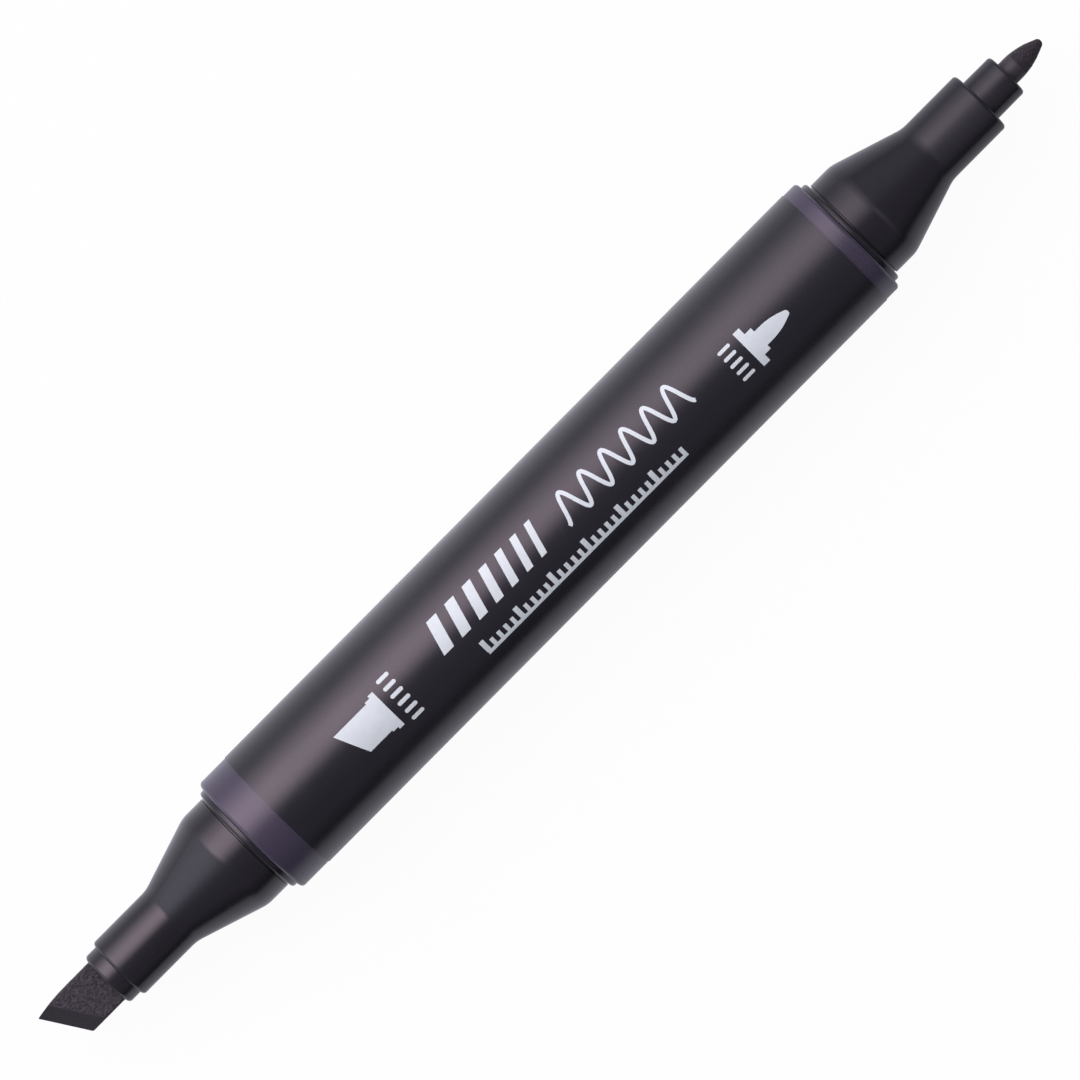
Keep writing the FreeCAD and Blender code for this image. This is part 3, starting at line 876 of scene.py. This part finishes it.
SOFTBOX_ACROSS = [
    (-8, 0.0), (0, 0.15), (11.5, 0.65), (20, 0.93), (30, 1.0), (40, 0.92), (60, 0.38), (76, 0.05),
]
SOFTBOX_ALONG = [
    (-0.44, 0.0), (-0.41, 0.90), (-0.15, 0.97), (-0.06, 1.0), (-0.04, 0.86), (-0.012, 0.60), (0.01, 0.475),
    (0.04, 0.37), (0.06, 0.31), (0.075, 0.315), (0.11, 0.28), (0.30, 0.17), (0.60, 0.0),
]
CARD_ACROSS = [
    (-66, 0.0), (-60, 0.10), (-47, 0.38), (-35, 0.50), (-23, 0.68), (-11, 1.0), (0, 0.85), (6, 0.0),
]
CARD_ALONG = [(0.0575, 0.0), (0.0600, 1.0), (0.0675, 1.0), (0.0700, 0.0)]


def soft_light(name, distance, tilt, x_middle, size, radiance, colour, across, along):
    """A panel facing the marker's axis, `tilt` from straight up towards +Y, that fades by its two curves."""
    data = bpy.data.lights.new(name, "AREA")
    data.shape = "RECTANGLE"
    data.size, data.size_y = size
    data.color = colour
    data.energy = radiance * math.pi * data.size * data.size_y
    s = LightingShader(data)
    x, y, z = s.split(s.node("ShaderNodeNewGeometry").outputs["Position"])
    strength = s.math("MULTIPLY", s.curve(s.turn(y, z), across), s.curve(x, along))
    emission = s.node("ShaderNodeEmission", {"Color": grey(1), "Strength": strength})
    s.end_at("ShaderNodeOutputLight", emission)
    lamp = bpy.data.objects.new(name, data)
    scene.collection.objects.link(lamp)
    towards = Vector((0, math.sin(tilt), math.cos(tilt)))
    up = towards.cross(Vector((1, 0, 0))).normalized()
    side = up.cross(towards).normalized()
    turned = Matrix((side, up, towards)).transposed().to_4x4()
    lamp.matrix_world = Matrix.Translation(Vector((x_middle, 0, 0)) + towards * distance) @ turned
    lamp.visible_camera = False


def lights():
    """A large softbox on the +Y side, fading to the fine end, and a small dim card over the fine neck."""
    soft_light(
        "softbox", distance=1.0, tilt=math.radians(38), x_middle=0.0, size=(1.30, 1.72),
        radiance=4.4, colour=(1.0, 0.77, 0.88), across=SOFTBOX_ACROSS, along=SOFTBOX_ALONG,
    )
    soft_light(
        "neck_card", distance=0.05, tilt=math.radians(-25), x_middle=0.0637, size=(0.013, 0.085),
        radiance=0.62, colour=(0.95, 0.92, 1.06), across=CARD_ACROSS, along=CARD_ALONG,
    )


CAMERA_X = 0.015
CAMERA_HEIGHT = 1.1
CAMERA_ROLL = math.radians(45.2)
AIM_RIGHT = -0.967 * MM         # the aimed point, from the marker's middle, along the picture's own sides
AIM_UP = -0.479 * MM
PICTURE_WIDTH = 114.84 * MM
SENSOR_WIDTH = 36.0


def camera():
    """Looks down on the marker, which lies across the picture with its fine end up and to the right."""
    right = Vector((math.cos(CAMERA_ROLL), -math.sin(CAMERA_ROLL), 0))
    up = Vector((math.sin(CAMERA_ROLL), math.cos(CAMERA_ROLL), 0))
    place = Vector((CAMERA_X, 0, CAMERA_HEIGHT))
    back = (place - AIM_RIGHT * right - AIM_UP * up).normalized()
    side = up.cross(back).normalized()
    turned = Matrix((side, back.cross(side), back)).transposed().to_4x4()
    data = bpy.data.cameras.new("camera")
    data.sensor_width = SENSOR_WIDTH
    data.lens = SENSOR_WIDTH * CAMERA_HEIGHT / PICTURE_WIDTH
    data.clip_start = 0.05
    data.clip_end = 20.0
    eye = bpy.data.objects.new("camera", data)
    scene.collection.objects.link(eye)
    eye.matrix_world = Matrix.Translation(place) @ turned
    scene.camera = eye


floor()
surroundings()
lights()
camera()
